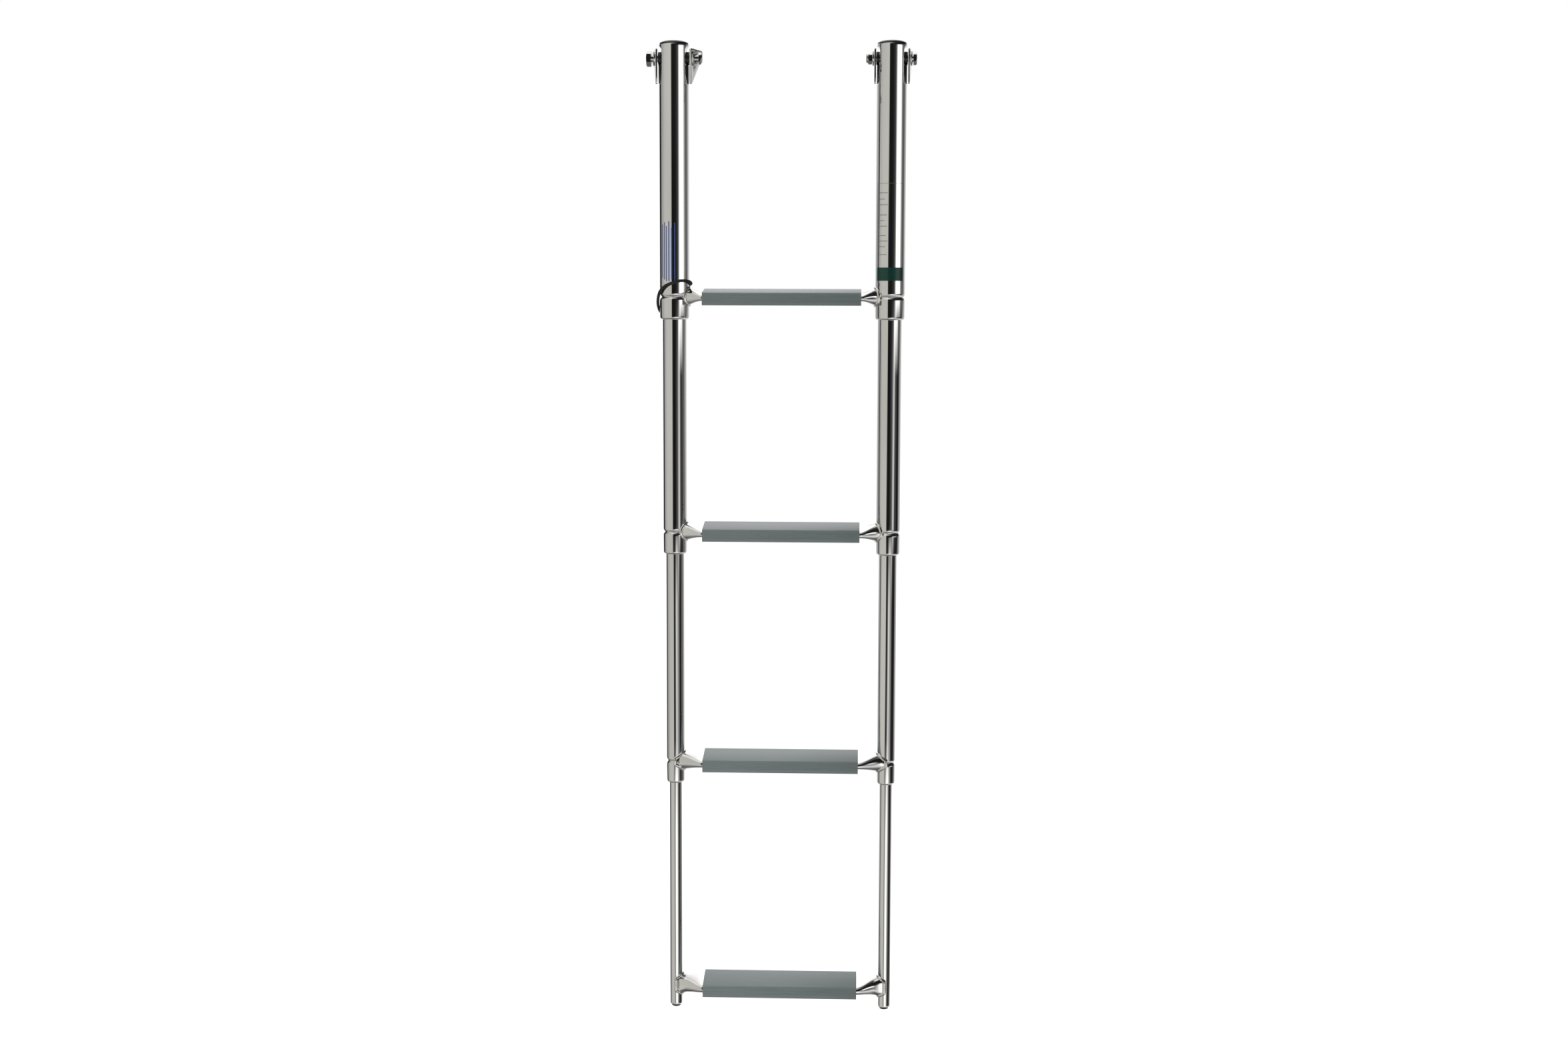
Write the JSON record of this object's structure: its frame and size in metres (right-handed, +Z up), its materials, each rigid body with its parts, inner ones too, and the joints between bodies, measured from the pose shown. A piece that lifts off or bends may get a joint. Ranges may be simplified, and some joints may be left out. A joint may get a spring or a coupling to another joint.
{
  "type": "telescoping boarding ladder",
  "caption": "Telescoping boat boarding ladder: nested polished steel stiles with ribbed plastic treads, hung from bolted hinge ears.",
  "frame": {"origin": "on the hinge axis, midway between the two stiles", "axes": "+Z up, the ladder hangs fully extended along -Z; +X along the hinge axis to the right of someone facing the boat; +Y towards the boat"},
  "size_m": [0.3445, 0.0537, 1.2703],
  "materials": {
    "tube_steel": "mirror polished stainless steel",
    "bracket_steel": "polished stainless steel plate",
    "fastener_steel": "satin stainless steel",
    "tread_plastic": "grey ribbed plastic",
    "black_plastic": "moulded black plastic",
    "bush_plastic": "light grey plastic",
    "black_elastic": "braided black elastic cord"
  },
  "bodies": {
    "brackets": {"hinge_ear_left_outer": "bracket_steel", "washer_left_outer": "fastener_steel", "spacer_left_outer": "black_plastic", "hinge_ear_left_inner": "bracket_steel", "washer_left_inner": "fastener_steel", "spacer_left_inner": "black_plastic", "pivot_bolt_left": "fastener_steel", "lock_nut_left": "fastener_steel", "hinge_ear_right_outer": "bracket_steel", "washer_right_outer": "fastener_steel", "spacer_right_outer": "black_plastic", "hinge_ear_right_inner": "bracket_steel", "washer_right_inner": "fastener_steel", "spacer_right_inner": "black_plastic", "pivot_bolt_right": "fastener_steel", "lock_nut_right": "fastener_steel"},
    "stage_1": {"stile_1_left": "tube_steel", "guide_bush_1_left": "bush_plastic", "end_plug_left": "black_plastic", "stile_1_right": "tube_steel", "guide_bush_1_right": "bush_plastic", "end_plug_right": "black_plastic", "step_tube_1": "tube_steel", "tread_1": "tread_plastic", "elastic_loop": "black_elastic"},
    "stage_2": {"stile_2_left": "tube_steel", "guide_bush_2_left": "bush_plastic", "stop_bush_2_left": "bush_plastic", "stile_2_right": "tube_steel", "guide_bush_2_right": "bush_plastic", "stop_bush_2_right": "bush_plastic", "step_tube_2": "tube_steel", "tread_2": "tread_plastic"},
    "stage_3": {"stile_3_left": "tube_steel", "guide_bush_3_left": "bush_plastic", "stop_bush_3_left": "bush_plastic", "stile_3_right": "tube_steel", "guide_bush_3_right": "bush_plastic", "stop_bush_3_right": "bush_plastic", "step_tube_3": "tube_steel", "tread_3": "tread_plastic"},
    "stage_4": {"stile_4_left": "tube_steel", "foot_plug_left": "black_plastic", "stop_bush_4_left": "bush_plastic", "stile_4_right": "tube_steel", "foot_plug_right": "black_plastic", "stop_bush_4_right": "bush_plastic", "step_tube_4": "tube_steel", "tread_4": "tread_plastic"}
  },
  "joints": [
    {"name": "swing_up", "type": "hinge", "parent": "brackets", "child": "stage_1", "pos_m": [0, 0, 0], "axis": [-1, 0, 0], "range_deg": [0, 180]},
    {"name": "slide_2", "type": "slide", "parent": "stage_1", "child": "stage_2", "axis": [0, 0, 1], "range_m": [0, 0.246]},
    {"name": "slide_3", "type": "slide", "parent": "stage_2", "child": "stage_3", "axis": [0, 0, 1], "range_m": [0, 0.258]},
    {"name": "slide_4", "type": "slide", "parent": "stage_3", "child": "stage_4", "axis": [0, 0, 1], "range_m": [0, 0.258]}
  ]
}
